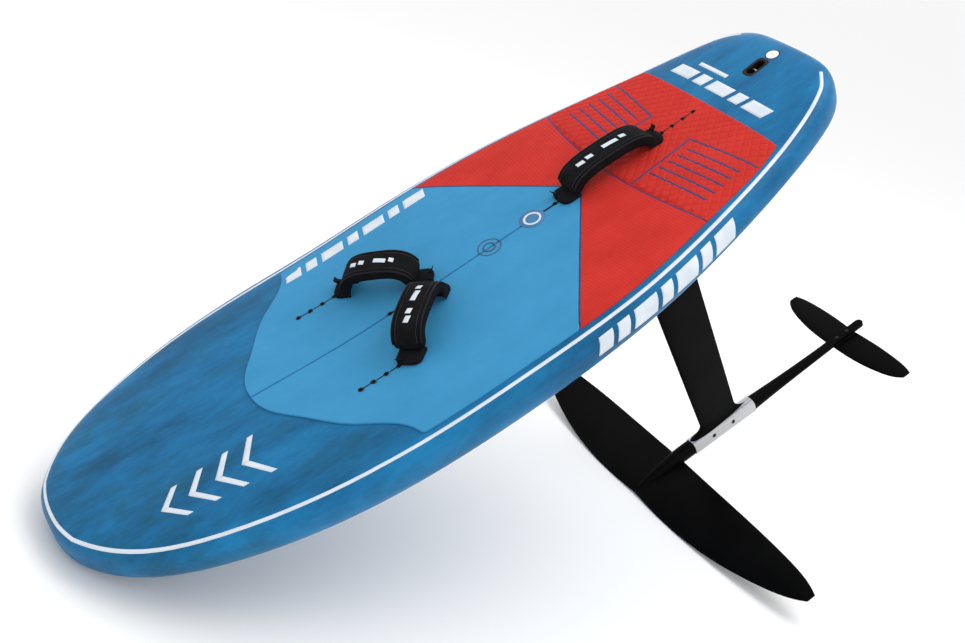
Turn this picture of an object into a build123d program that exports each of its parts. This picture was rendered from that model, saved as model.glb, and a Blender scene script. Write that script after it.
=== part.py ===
from build123d import *
import math
import os

os.makedirs("parts", exist_ok=True)

# Board frame while modelling: X forward from the tail, Y to port, Z up, the flat of the deck at Z = 0.
# Every finished piece is then turned nose-down into its resting pose, on the nose and the front wing,
# and set down so that the origin is on the floor under the middle of the whole.

# ------------------------------------------------------------------ driving dimensions
REST_PITCH = 39.4796
REST_SHIFT_X = -369.909
REST_SHIFT_Z = 1109.485

SKIN = 5.0
PAD = 4.0
GROOVE = 2.4

# Hull stations: distance from the tail, half width, deck height, rail height, bottom height.
STATIONS = [
    (0, 100, 5, -36, -68),
    (12, 138, 12, -38, -79),
    (40, 168, 14, -41, -83),
    (102, 203, 10, -46, -83),
    (233, 250, 1.5, -52, -83),
    (404, 297, 0, -50, -93.8),
    (636, 341, 0, -43, -108.6),
    (888, 350, 0, -35, -125),
    (1050, 347, 0, -29, -125),
    (1140, 344, 4, -23, -120),
    (1342, 320, 22, -9, -99),
    (1493, 276, 36, 0, -76),
    (1614, 213, 49, 5, -52),
    (1685, 139, 55, 6, -37),
    (1716, 84, 49, 6, -24),
    (1727, 52, 32, 7, -9),
]
DECK_FULLNESS = 0.9
BOTTOM_FULLNESS = 0.87
BOND = 0.05

# Deck pads
PAD_REAR = 226.0
PAD_INSET = 36.0
PAD_APEX = 1310.0
VEE_APEX = 545.0
VEE_SLOPE = 0.73
ARC_APEX = 485.0
ARC_EDGE = 440.0
EDGE_Y = 300.0
CENTRE_LINE_WIDTH = 2.5

# Footstrap inserts and straps
HOLE_PITCH = 27.3
INSERT_DEPTH = 24.0
INSERT_WIDTH = 22.0
M6 = 3.0
M6_SHANK = 2.95
STRAP_BASE = PAD + 0.3
STRAP_WIDTH = 60.0
FRONT_STRAP_HEIGHT = 66.0
REAR_STRAP_HEIGHT = 54.0
STRAP_PADDING = 9.0
WEBBING_WIDTH = 38.0
WEBBING = 2.5
TAB = 13.0
ARCH_STEPS = 12
ARCH_POWER = 2.5
ROW_Y = 138.0
FRONT_ROW_START = 1144.3
FRONT_ROW_COUNT = 6
STRAP_HOLE = 4
CENTRE_STRAP_X = 911.0
CENTRE_STRAP_Y = 26.0
REAR_ROW_START = 260.0
REAR_ROW_COUNT = 5
REAR_STRAP_FRONT_X = 583.7

# Tail fittings
LEASH_X = 93.0
LEASH_CUP = (58.0, 32.0, 12.0)
LEASH_POCKET = (44.0, 20.0, 9.0)
LEASH_CUP_DEPTH = 26.0
LEASH_POCKET_DEPTH = 20.0
LEASH_BAR = 2.5
LEASH_BAR_Z = 2.0
LEASH_BAR_LENGTH = 28.0
VENT_X = 47.0
VENT_TOP = 12.0
VENT_BORE = 5.0
VENT_SHANK = 4.95
VENT_INSERT = 15.5

# Carrying handle in the bottom: the cup is open from below.
HANDLE_X = 800.0
HANDLE_CUP = (176.0, 84.0, 20.0)
HANDLE_POCKET = (160.0, 68.0, 14.0)
HANDLE_CUP_TOP = -72.0
HANDLE_POCKET_TOP = -77.0
GRIP = (28.0, 12.0, 5.0)
GRIP_Z = -112.0
BELOW = -140.0

# Foil seat: the bottom is straight here and rises towards the tail.
SEAT_X = 425.0
SEAT_Z = -95.1
SEAT_SLOPE = 0.064
SEAT_DEPTH = 1.5
SLIDE_GAP = 0.3
TRACK_SPACING = 90.0
TRACK_LENGTH = 350.0
TRACK_WIDTH = 26.0
TRACK_DEPTH = 24.0
SLOT_WIDTH = 9.2
CHANNEL_WIDTH = 17.0
CHANNEL_DEPTH = 9.0
CHANNEL_FLOOR = 6.0
BOLT_SPACING = 165.0
PLATE_LENGTH = 192.0
PLATE_WIDTH = 114.0
PLATE = 9.0
M8_SHANK = 4.0

# Foil: mast, fuselage and wings
MAST_TOP_NOSE = 490.0
MAST_TOP_TAIL = 356.0
MAST_FOOT_NOSE = 443.5
MAST_FOOT_TAIL = 337.0
MAST_TOP_Z = -95.0
MAST_FOOT_Z = -838.0
MAST_THICKNESS = 16.0
FUSELAGE_TOP = -857.0
FUSELAGE_HEIGHT = 40.0
FUSELAGE_WIDTH = 36.0
CENTRE_FRONT = 480.0
CENTRE_REAR = 292.0
FUSELAGE_NOSE = 658.0
FUSELAGE_END = -74.0
AXIS_Z = FUSELAGE_TOP - FUSELAGE_HEIGHT / 2
SPIGOT = 12.0
SPIGOT_LENGTH = 26.0
WING_Z = -887.0
WING_THICKNESS = 18.0
TAIL_THICKNESS = 9.0
TRAILING_EDGE = 0.5

# Foil seat and mast: sections are height, leading edge, trailing edge, thickness.
PLATE_TOP = SEAT_DEPTH - SLIDE_GAP
BOSS = 24.0
HEAD_SCREWS = [(-18, 0), (10, 0), (38, 0)]
MAST_MIDDLE = (
    ((MAST_TOP_Z + MAST_FOOT_Z) / 2),
    ((MAST_TOP_NOSE + MAST_FOOT_NOSE) / 2),
    ((MAST_TOP_TAIL + MAST_FOOT_TAIL) / 2),
)
MAST_SECTIONS = [
    (MAST_TOP_Z + 5, MAST_TOP_NOSE, MAST_TOP_TAIL, MAST_THICKNESS),
    (*MAST_MIDDLE, MAST_THICKNESS - 1),
    (MAST_FOOT_Z + 12, MAST_FOOT_NOSE, MAST_FOOT_TAIL, MAST_THICKNESS - 2),
]
FOOT_SECTIONS = [
    MAST_SECTIONS[-1],
    (MAST_FOOT_Z, MAST_FOOT_NOSE + 2, MAST_FOOT_TAIL - 2, MAST_THICKNESS - 1),
    (MAST_FOOT_Z - 10, MAST_FOOT_NOSE + 12, MAST_FOOT_TAIL - 9, MAST_THICKNESS + 2),
    (FUSELAGE_TOP, MAST_FOOT_NOSE + 36, MAST_FOOT_TAIL - 28, MAST_THICKNESS + 8),
]
TENON_X = 392.0
TENON_LENGTH = 92.0
TENON_WIDTH = 14.0
TENON_DEPTH = 24.0
FOOT_BOLTS_X = (362.0, 422.0)

# Base bolts, on the seat plane
BOLT_PLACES = [(x * BOLT_SPACING / 2, y * TRACK_SPACING / 2) for x in (-1, 1) for y in (-1, 1)]
WASHER = 1.6
NUT_TOP = SEAT_DEPTH + CHANNEL_FLOOR + SLIDE_GAP
NUT = 7.0

# Screws along the wings, and the head radius of an M6 screw
WING_SCREWS_X = (538.0, 568.0, 598.0)
TAIL_SCREWS_X = (8.0, -24.0)
HEAD = 5.2
HEAD_GAP = 0.3
M5_HOLE = 2.6
M5_SHANK = 2.45

# The flat tab that carries the tail wing
TAB_BOTTOM = -880.0
TAB_HEIGHT = 9.0

# Fuselage joints and cones: sections are place along X, height, half width, half height.
JOINT_SCREWS_X = (CENTRE_REAR + 14, CENTRE_FRONT - 14)
NOSE_CONE = [
    (CENTRE_FRONT, AXIS_Z, FUSELAGE_WIDTH / 2, FUSELAGE_HEIGHT / 2),
    (CENTRE_FRONT + 40, AXIS_Z, 18, 20),
    (CENTRE_FRONT + 95, AXIS_Z - 2, 16, 16.5),
    (CENTRE_FRONT + 145, AXIS_Z - 5, 11, 9.5),
    (FUSELAGE_NOSE, AXIS_Z - 9, 3, 2),
]
TAIL_CONE = [
    (CENTRE_REAR, AXIS_Z, FUSELAGE_WIDTH / 2, FUSELAGE_HEIGHT / 2),
    (CENTRE_REAR - 60, AXIS_Z, 15.5, 16.5),
    (160, AXIS_Z, 13.5, 13.5),
    (40, AXIS_Z + 1, 11.5, 10.5),
]

# Wing stations, evenly spaced from the middle to the tip: leading edge, trailing edge, share of the root thickness.
FRONT_SPAN = 1014.0
FRONT_WING = [
    (661.0, 519.2, 1.0),
    (664.5, 520.0, 0.985),
    (666.4, 520.8, 0.965),
    (665.5, 521.4, 0.93),
    (662.0, 522.0, 0.88),
    (656.0, 522.8, 0.81),
    (647.0, 524.0, 0.73),
    (635.0, 526.0, 0.63),
    (620.5, 529.0, 0.52),
    (602.0, 535.0, 0.38),
    (572.0, 550.0, 0.16),
]
TAIL_SPAN = 402.0
TAIL_WING = [
    (26.2, -44.4, 1.0),
    (26.4, -46.0, 0.97),
    (25.0, -47.2, 0.92),
    (21.5, -47.2, 0.85),
    (15.5, -46.0, 0.76),
    (6.5, -43.0, 0.62),
    (-14.0, -35.0, 0.3),
]


# ------------------------------------------------------------------ helpers
def save(builder, name):
    """Turn a finished piece into its resting pose, label it and write it."""
    turned = builder.part.rotate(Axis.Y, REST_PITCH)
    builder.part = turned.moved(Location((REST_SHIFT_X, 0, REST_SHIFT_Z)))
    builder.part.label = name
    export_step(builder.part, f"parts/{name}.step")


def hull_plane(x, rail):
    """The cross-section plane at this station: local x to port, local y up, on the rail line."""
    return Plane(origin=(x, 0, rail), x_dir=(0, 1, 0), z_dir=(1, 0, 0))


def shrunk(stations, inward):
    """The same stations with both ends and both rails moved in by this much."""
    first, last = stations[0][0], stations[-1][0]
    span = last - first
    return [
        (first + inward + (x - first) * (span - 2 * inward) / span, half_width - inward, *heights)
        for x, half_width, *heights in stations
    ]


def deck_half(grow, gap):
    """Loft the hull from the rail line up to the deck, raised by grow."""
    with BuildPart() as half:
        for x, half_width, deck, rail, bottom in STATIONS:
            height = deck - rail - gap + grow
            corner = height * DECK_FULLNESS
            with BuildSketch(hull_plane(x, rail + gap)):
                with BuildLine():
                    Bezier((half_width, 0), (half_width, corner), (half_width * DECK_FULLNESS, height), (0, height))
                    Bezier((0, height), (-half_width * DECK_FULLNESS, height), (-half_width, corner), (-half_width, 0))
                    Line((-half_width, 0), (half_width, 0))
                make_face()
        loft()
    return half.part


def bottom_half(gap):
    """Loft the hull from the rail line down to the bottom."""
    with BuildPart() as half:
        for x, half_width, deck, rail, bottom in STATIONS:
            depth = bottom - rail + gap
            corner = depth * BOTTOM_FULLNESS
            with BuildSketch(hull_plane(x, rail - gap)):
                with BuildLine():
                    Bezier((half_width, 0), (half_width, corner), (half_width * BOTTOM_FULLNESS, depth), (0, depth))
                    Bezier((0, depth), (-half_width * BOTTOM_FULLNESS, depth), (-half_width, corner), (-half_width, 0))
                    Line((-half_width, 0), (half_width, 0))
                make_face()
        loft()
    return half.part


def hull_inside(inward):
    """Loft the whole closed hull, moved inward on every side."""
    with BuildPart() as inside:
        for x, half_width, deck, rail, bottom in shrunk(STATIONS, inward):
            height = deck - rail - inward
            depth = bottom - rail + inward
            upper = (half_width * DECK_FULLNESS, height * DECK_FULLNESS)
            lower = (half_width * BOTTOM_FULLNESS, depth * BOTTOM_FULLNESS)
            with BuildSketch(hull_plane(x, rail)):
                with BuildLine():
                    Bezier((half_width, 0), (half_width, upper[1]), (upper[0], height), (0, height))
                    Bezier((0, height), (-upper[0], height), (-half_width, upper[1]), (-half_width, 0))
                    Bezier((-half_width, 0), (-half_width, lower[1]), (-lower[0], depth), (0, depth))
                    Bezier((0, depth), (lower[0], depth), (half_width, lower[1]), (half_width, 0))
                make_face()
        loft()
    return inside.part


def foil_section(plane, chord, thickness):
    """A closed foil section on this plane, with its nose at the plane's origin, pointing along +X."""
    with BuildSketch(plane) as section:
        with BuildLine():
            Bezier((0, 0), (0, thickness * 0.6), (-chord * 0.4, thickness * 0.74), (-chord, TRAILING_EDGE))
            Line((-chord, TRAILING_EDGE), (-chord, -TRAILING_EDGE))
            Bezier((-chord, -TRAILING_EDGE), (-chord * 0.4, -thickness * 0.74), (0, -thickness * 0.6), (0, 0))
        make_face()
    return section.sketch


def half_wing(stations, span, thickness):
    """Loft the port half of a wing through its stations."""
    bay = span / 2 / (len(stations) - 1)
    with BuildPart() as half:
        for index, (nose, tail, share) in enumerate(stations):
            plane = Plane(origin=(nose, bay * index, WING_Z), x_dir=(1, 0, 0), z_dir=(0, -1, 0))
            add(foil_section(plane, nose - tail, thickness * share))
        loft()
    return half.part


def arch(span, height, outward):
    """Points along a footstrap's arch between its two screws, moved outward from its inner face."""
    half = span / 2
    reach = half - TAB - 3 + outward
    rise = height - PAD - WEBBING - STRAP_PADDING - WEBBING + outward
    points = []
    for step in range(ARCH_STEPS + 1):
        angle = math.pi * step / ARCH_STEPS
        across = math.copysign(abs(math.cos(angle)) ** (2 / ARCH_POWER), math.cos(angle))
        up = math.sin(angle) ** (2 / ARCH_POWER) if 0 < step < ARCH_STEPS else 0
        points.append((half - reach * across, WEBBING + rise * up))
    return points


def row(start, count):
    """Hole places along a row that runs aft from its first hole."""
    return [start - HOLE_PITCH * index for index in range(count)]


# ------------------------------------------------------------------ hull layers
deck_outer = deck_half(0, BOND)
bottom_outer = bottom_half(BOND)
skin_inside = hull_inside(SKIN)
core_outside = hull_inside(SKIN + BOND)
pad_outer = deck_half(PAD, BOND)
pad_inside = deck_half(BOND, BOND)

SEAT = Plane(origin=(SEAT_X, 0, SEAT_Z), x_dir=(1, 0, -SEAT_SLOPE), z_dir=(SEAT_SLOPE, 0, 1))
front_row = row(FRONT_ROW_START, FRONT_ROW_COUNT)
rear_row = row(REAR_ROW_START + HOLE_PITCH * (REAR_ROW_COUNT - 1), REAR_ROW_COUNT)

# Each insert: name, middle, length, width, threaded holes.
INSERTS = {
    "insert_front_port": (1076, ROW_Y, 168, INSERT_WIDTH, [(x, ROW_Y) for x in front_row]),
    "insert_front_starboard": (1076, -ROW_Y, 168, INSERT_WIDTH, [(x, -ROW_Y) for x in front_row]),
    "insert_front_centre": (
        951, 0, 132, 74,
        [(CENTRE_STRAP_X, CENTRE_STRAP_Y), (CENTRE_STRAP_X, -CENTRE_STRAP_Y), (978, 0), (978 + HOLE_PITCH, 0)],
    ),
    "insert_rear_forward": (597, 0, 56, INSERT_WIDTH, [(REAR_STRAP_FRONT_X, 0), (REAR_STRAP_FRONT_X + HOLE_PITCH, 0)]),
    "insert_rear_aft": (314.6, 0, 138, INSERT_WIDTH, [(x, 0) for x in rear_row]),
}

inserts = {}
for name, (x, y, length, width, holes) in INSERTS.items():
    with BuildPart() as insert:
        with BuildSketch(Plane.XY.offset(-INSERT_DEPTH)):
            with Locations((x, y)):
                RectangleRounded(length, width, 8)
        extrude(amount=INSERT_DEPTH + 10)
        add(deck_outer, mode=Mode.INTERSECT)
        with BuildSketch(Plane.XY.offset(-INSERT_DEPTH + 4)):
            with Locations(*holes):
                Circle(M6)
        extrude(amount=INSERT_DEPTH + 10, mode=Mode.SUBTRACT)
    inserts[name] = insert

with BuildPart() as leash_cup:
    with BuildSketch(Plane.XY.offset(-LEASH_CUP_DEPTH)):
        with Locations((LEASH_X, 0)):
            RectangleRounded(*LEASH_CUP)
    extrude(amount=50)
    add(deck_outer, mode=Mode.INTERSECT)
    with BuildSketch(Plane.XY.offset(-LEASH_POCKET_DEPTH)):
        with Locations((LEASH_X, 0)):
            RectangleRounded(*LEASH_POCKET)
    extrude(amount=50, mode=Mode.SUBTRACT)
    with BuildSketch(Plane.XZ.offset(-LEASH_BAR_LENGTH / 2)):
        with Locations((LEASH_X, LEASH_BAR_Z)):
            Circle(LEASH_BAR + 0.1)
    extrude(amount=LEASH_BAR_LENGTH, mode=Mode.SUBTRACT)

with BuildPart() as leash_bar:
    with BuildSketch(Plane.XZ.offset(-LEASH_BAR_LENGTH / 2)):
        with Locations((LEASH_X, LEASH_BAR_Z)):
            Circle(LEASH_BAR)
    extrude(amount=LEASH_BAR_LENGTH)

with BuildPart() as vent_insert:
    with BuildSketch(Plane.XY.offset(VENT_TOP - 30)):
        with Locations((VENT_X, 0)):
            Circle(VENT_INSERT)
    extrude(amount=60)
    add(deck_outer, mode=Mode.INTERSECT)
    with BuildSketch(Plane.XY.offset(VENT_TOP - 4)):
        with Locations((VENT_X, 0)):
            Circle(13.6)
    extrude(amount=30, mode=Mode.SUBTRACT)
    with BuildSketch(Plane.XY.offset(VENT_TOP - 24)):
        with Locations((VENT_X, 0)):
            Circle(VENT_BORE)
    extrude(amount=30, mode=Mode.SUBTRACT)

with BuildPart() as vent_o_ring:
    with BuildSketch(Plane.XZ):
        with Locations((VENT_X + 8.4, VENT_TOP - 2.9)):
            Circle(0.9)
    revolve(axis=Axis((VENT_X, 0, 0), (0, 0, 1)))

with BuildPart() as vent_screw:
    with BuildSketch(Plane.XY.offset(VENT_TOP - 1.8)):
        with Locations((VENT_X, 0)):
            Circle(13)
    extrude(amount=4)
    with BuildSketch(Plane.XY.offset(VENT_TOP - 20)):
        with Locations((VENT_X, 0)):
            Circle(VENT_SHANK)
    extrude(amount=19)
    with BuildSketch(Plane.XY.offset(VENT_TOP + 0.8)):
        with Locations((VENT_X, 0)):
            Rectangle(14, 2.4, rotation=90)
    extrude(amount=4, mode=Mode.SUBTRACT)

track_boxes = {}
for name, side in (("track_box_port", 1), ("track_box_starboard", -1)):
    with BuildPart() as track:
        with BuildSketch(SEAT.offset(SEAT_DEPTH)):
            with Locations((0, side * TRACK_SPACING / 2)):
                RectangleRounded(TRACK_LENGTH, TRACK_WIDTH, 6)
        extrude(amount=TRACK_DEPTH)
        with BuildSketch(SEAT.offset(SEAT_DEPTH)):
            with Locations((0, side * TRACK_SPACING / 2)):
                SlotOverall(TRACK_LENGTH - 14, SLOT_WIDTH)
        extrude(amount=CHANNEL_FLOOR + 1, mode=Mode.SUBTRACT)
        with BuildSketch(SEAT.offset(SEAT_DEPTH + CHANNEL_FLOOR)):
            with Locations((0, side * TRACK_SPACING / 2)):
                Rectangle(TRACK_LENGTH - 14, CHANNEL_WIDTH)
        extrude(amount=CHANNEL_DEPTH, mode=Mode.SUBTRACT)
    track_boxes[name] = track

with BuildPart() as handle_cup:
    with BuildSketch(Plane.XY.offset(BELOW)):
        with Locations((HANDLE_X, 0)):
            RectangleRounded(*HANDLE_CUP)
    extrude(amount=HANDLE_CUP_TOP - BELOW)
    add(bottom_outer, mode=Mode.INTERSECT)
    with BuildSketch(Plane.XY.offset(BELOW)):
        with Locations((HANDLE_X, 0)):
            RectangleRounded(*HANDLE_POCKET)
    extrude(amount=HANDLE_POCKET_TOP - BELOW, mode=Mode.SUBTRACT)

with BuildPart() as handle_grip:
    with BuildSketch(Plane.YZ.offset(HANDLE_X - HANDLE_POCKET[0] / 2)):
        with Locations((0, GRIP_Z)):
            RectangleRounded(*GRIP)
    extrude(amount=HANDLE_POCKET[0])

# ------------------------------------------------------------------ core and skins
with BuildPart() as insert_space:
    for x, y, length, width, holes in INSERTS.values():
        with BuildSketch(Plane.XY.offset(-INSERT_DEPTH)):
            with Locations((x, y)):
                RectangleRounded(length, width, 8)
        extrude(amount=INSERT_DEPTH + 20)
    with BuildSketch(Plane.XY.offset(-LEASH_CUP_DEPTH)):
        with Locations((LEASH_X, 0)):
            RectangleRounded(*LEASH_CUP)
    extrude(amount=60)
    with BuildSketch(Plane.XY.offset(VENT_TOP - 30)):
        with Locations((VENT_X, 0)):
            Circle(VENT_INSERT)
    extrude(amount=60)

with BuildPart() as bottom_space:
    for side in (1, -1):
        with BuildSketch(SEAT.offset(-30)):
            with Locations((0, side * TRACK_SPACING / 2)):
                RectangleRounded(TRACK_LENGTH, TRACK_WIDTH, 6)
        extrude(amount=30 + SEAT_DEPTH + TRACK_DEPTH)
    with BuildSketch(SEAT.offset(-30)):
        RectangleRounded(TRACK_LENGTH + 20, TRACK_SPACING + TRACK_WIDTH + 24, 16)
    extrude(amount=30 + SEAT_DEPTH)
    with BuildSketch(Plane.XY.offset(BELOW)):
        with Locations((HANDLE_X, 0)):
            RectangleRounded(*HANDLE_CUP)
    extrude(amount=HANDLE_CUP_TOP - BELOW)

with BuildPart() as foam_core:
    add(core_outside)
    split(bisect_by=Plane.XZ, keep=Keep.TOP)
    add([bottom_space.part, insert_space.part], mode=Mode.SUBTRACT)
    mirror(about=Plane.XZ)

with BuildPart() as deck_skin:
    add(deck_outer)
    split(bisect_by=Plane.XZ, keep=Keep.TOP)
    add(skin_inside, mode=Mode.SUBTRACT)
    add(insert_space.part, mode=Mode.SUBTRACT)
    mirror(about=Plane.XZ)

with BuildPart() as bottom_skin:
    add(bottom_outer)
    split(bisect_by=Plane.XZ, keep=Keep.TOP)
    add(skin_inside, mode=Mode.SUBTRACT)
    add(bottom_space.part, mode=Mode.SUBTRACT)
    mirror(about=Plane.XZ)

# ------------------------------------------------------------------ deck pads
pad_side = [(station[0], station[1] - PAD_INSET) for station in STATIONS if PAD_REAR < station[0] < 1100]

with BuildPart() as pad_layer:
    with BuildSketch(Plane.XY.offset(-60)):
        with BuildLine():
            Spline((PAD_REAR, 211), *pad_side, (1110, 309))
            Spline((1110, 309), (1200, 197), (1262, 112), (PAD_APEX, 0), tangents=[(0.2, -1), (0, -1)])
            Line((PAD_REAR, 211), (PAD_REAR, 0))
            Line((PAD_REAR, 0), (PAD_APEX, 0))
        make_face()
        mirror(about=Plane.XZ)
    extrude(amount=160)
    add(pad_outer, mode=Mode.INTERSECT)
    add(pad_inside, mode=Mode.SUBTRACT)
    with BuildSketch(Plane.XY.offset(-20)):
        with Locations(*[hole for piece in INSERTS.values() for hole in piece[4]]):
            Circle(M6 + 2)
    extrude(amount=60, mode=Mode.SUBTRACT)

with BuildPart() as front_region:
    with BuildSketch(Plane.XY.offset(-60)):
        with BuildLine():
            Polyline(
                (VEE_APEX + GROOVE, 0),
                (VEE_APEX + GROOVE + VEE_SLOPE * EDGE_Y * 1.3, EDGE_Y * 1.3),
                (1400, EDGE_Y * 1.3),
                (1400, -EDGE_Y * 1.3),
                (VEE_APEX + GROOVE + VEE_SLOPE * EDGE_Y * 1.3, -EDGE_Y * 1.3),
                close=True,
            )
        make_face()
    extrude(amount=160)

with BuildPart() as rear_region:
    with BuildSketch(Plane.XY.offset(-60)):
        with BuildLine():
            ThreePointArc((ARC_EDGE, EDGE_Y), (ARC_APEX, 0), (ARC_EDGE, -EDGE_Y))
            Polyline((ARC_EDGE, -EDGE_Y), (200, -EDGE_Y), (200, EDGE_Y), (ARC_EDGE, EDGE_Y))
        make_face()
    extrude(amount=160)

with BuildPart() as front_pad:
    add(pad_layer.part)
    add(front_region.part, mode=Mode.INTERSECT)
    with BuildSketch(Plane.XY.offset(-60)):
        with Locations((1000, 0)):
            Rectangle(1200, CENTRE_LINE_WIDTH)
    extrude(amount=160, mode=Mode.SUBTRACT)

with BuildPart() as rear_pad:
    add(pad_layer.part)
    add(rear_region.part, mode=Mode.INTERSECT)

with BuildPart() as mid_pad:
    add(pad_layer.part)
    add(front_region.part.moved(Location((-GROOVE, 0, 0))), mode=Mode.SUBTRACT)
    add(rear_region.part.moved(Location((GROOVE, 0, 0))), mode=Mode.SUBTRACT)

# ------------------------------------------------------------------ footstraps
STRAPS = {
    "front_port": ((front_row[STRAP_HOLE], ROW_Y), (CENTRE_STRAP_X, CENTRE_STRAP_Y), FRONT_STRAP_HEIGHT),
    "front_starboard": ((front_row[STRAP_HOLE], -ROW_Y), (CENTRE_STRAP_X, -CENTRE_STRAP_Y), FRONT_STRAP_HEIGHT),
    "rear": ((REAR_STRAP_FRONT_X, 0), (rear_row[0], 0), REAR_STRAP_HEIGHT),
}
strap_pieces = {}
for name, (start, end, height) in STRAPS.items():
    span = math.dist(start, end)
    side_plane = Plane(
        origin=(start[0], start[1], STRAP_BASE),
        x_dir=(end[0] - start[0], end[1] - start[1], 0),
        z_dir=(end[1] - start[1], start[0] - end[0], 0),
    )
    under = arch(span, height, 0)
    over = arch(span, height, WEBBING)
    lining = arch(span, height, WEBBING + SLIDE_GAP)
    padded = arch(span, height, WEBBING + STRAP_PADDING)
    with BuildPart() as webbing:
        with BuildSketch(side_plane):
            with BuildLine():
                Spline(*under)
                Polyline(under[-1], (under[-1][0], 0), (span + TAB, 0), (span + TAB, WEBBING), over[-1])
                Spline(*over)
                Polyline(over[0], (-TAB, WEBBING), (-TAB, 0), (under[0][0], 0), under[0])
            make_face()
        extrude(amount=WEBBING_WIDTH / 2, both=True)
        with BuildSketch(Plane.XY.offset(-10)):
            with Locations(start, end):
                Circle(M6 + 0.2)
        extrude(amount=40, mode=Mode.SUBTRACT)
    with BuildPart() as cover:
        with BuildSketch(side_plane):
            with BuildLine():
                Spline(*lining[1:-1])
                Line(lining[-2], padded[-2])
                Spline(*padded[1:-1])
                Line(lining[1], padded[1])
            make_face()
        extrude(amount=STRAP_WIDTH / 2, both=True)
    with BuildPart() as plates:
        with BuildSketch(Plane.XY.offset(STRAP_BASE + WEBBING)):
            with Locations(start, end):
                RectangleRounded(18, 18, 4)
                Circle(M6 + 0.2, mode=Mode.SUBTRACT)
        extrude(amount=1.6)
    with BuildPart() as screws:
        with BuildSketch(Plane.XY.offset(STRAP_BASE + WEBBING + 1.6)):
            with Locations(start, end):
                Circle(6)
        extrude(amount=3.4)
        with BuildSketch(Plane.XY.offset(-15)):
            with Locations(start, end):
                Circle(M6_SHANK)
        extrude(amount=15 + STRAP_BASE + WEBBING + 1.6)
        with BuildSketch(Plane.XY.offset(STRAP_BASE + WEBBING + 3)):
            with Locations(start, end):
                RegularPolygon(2.2, 6)
        extrude(amount=4, mode=Mode.SUBTRACT)
    strap_pieces[name] = {"cover": cover, "webbing": webbing, "plates": plates, "screws": screws}

# ------------------------------------------------------------------ mast
with BuildPart() as mast:
    for sections in (MAST_SECTIONS, FOOT_SECTIONS):
        for z, nose, tail, thickness in sections:
            add(foil_section(Plane(origin=(nose, 0, z)), nose - tail, thickness))
        loft()
    split(bisect_by=SEAT.offset(PLATE_TOP - PLATE), keep=Keep.BOTTOM)
    with BuildSketch(Plane.XY.offset(FUSELAGE_TOP - TENON_DEPTH)):
        with Locations((TENON_X, 0)):
            RectangleRounded(TENON_LENGTH, TENON_WIDTH, 5)
    extrude(amount=TENON_DEPTH)
    with BuildSketch(SEAT.offset(PLATE_TOP - PLATE - 28)):
        with Locations(*HEAD_SCREWS):
            Circle(M8_SHANK)
    extrude(amount=30, mode=Mode.SUBTRACT)
    with BuildSketch(Plane.XZ.offset(-30)):
        with Locations(*[(x, AXIS_Z + 6) for x in FOOT_BOLTS_X]):
            Circle(M6)
    extrude(amount=60, mode=Mode.SUBTRACT)

# ------------------------------------------------------------------ foil seat hardware
with BuildPart() as base_plate:
    with BuildSketch(SEAT.offset(PLATE_TOP - PLATE)):
        RectangleRounded(PLATE_LENGTH, PLATE_WIDTH, 16)
    extrude(amount=PLATE)
    with BuildSketch(SEAT.offset(PLATE_TOP - PLATE - BOSS)):
        SlotOverall(158, 30)
    with BuildSketch(SEAT.offset(PLATE_TOP - PLATE)):
        SlotOverall(174, 46)
    loft()
    with BuildSketch(SEAT.offset(PLATE_TOP - PLATE - BOSS - 5)):
        with Locations(*BOLT_PLACES):
            Circle(M8_SHANK + 0.2)
        with Locations(*HEAD_SCREWS):
            Circle(M8_SHANK + 0.1)
    extrude(amount=PLATE + BOSS + 10, mode=Mode.SUBTRACT)
    with BuildSketch(SEAT.offset(PLATE_TOP - 5.5)):
        with Locations(*HEAD_SCREWS):
            Circle(7.2)
    extrude(amount=8, mode=Mode.SUBTRACT)
    add(mast.part, mode=Mode.SUBTRACT)

with BuildPart() as mast_head_screws:
    with BuildSketch(SEAT.offset(PLATE_TOP - 5.5)):
        with Locations(*HEAD_SCREWS):
            Circle(7)
    extrude(amount=5)
    with BuildSketch(SEAT.offset(PLATE_TOP - PLATE - 24)):
        with Locations(*HEAD_SCREWS):
            Circle(M8_SHANK - 0.05)
    extrude(amount=24 + PLATE - 5.5)
    with BuildSketch(SEAT.offset(PLATE_TOP - 3)):
        with Locations(*HEAD_SCREWS):
            RegularPolygon(3, 6)
    extrude(amount=6, mode=Mode.SUBTRACT)

with BuildPart() as base_washers:
    with BuildSketch(SEAT.offset(PLATE_TOP - PLATE - WASHER)):
        with Locations(*BOLT_PLACES):
            Circle(8)
            Circle(M8_SHANK + 0.2, mode=Mode.SUBTRACT)
    extrude(amount=WASHER)

with BuildPart() as base_bolts:
    with BuildSketch(SEAT.offset(PLATE_TOP - PLATE - WASHER - 5)):
        with Locations(*BOLT_PLACES):
            Circle(6.8)
    extrude(amount=5)
    with BuildSketch(SEAT.offset(PLATE_TOP - PLATE - WASHER)):
        with Locations(*BOLT_PLACES):
            Circle(M8_SHANK)
    extrude(amount=WASHER + PLATE - PLATE_TOP + NUT_TOP + NUT)
    with BuildSketch(SEAT.offset(PLATE_TOP - PLATE - WASHER - 5)):
        with Locations(*BOLT_PLACES):
            RegularPolygon(3.1, 6)
    extrude(amount=3, mode=Mode.SUBTRACT)

with BuildPart() as track_nuts:
    with BuildSketch(SEAT.offset(NUT_TOP)):
        with Locations(*BOLT_PLACES):
            RectangleRounded(22, CHANNEL_WIDTH - 1, 2)
            Circle(M8_SHANK + 0.02, mode=Mode.SUBTRACT)
    extrude(amount=NUT)

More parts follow.
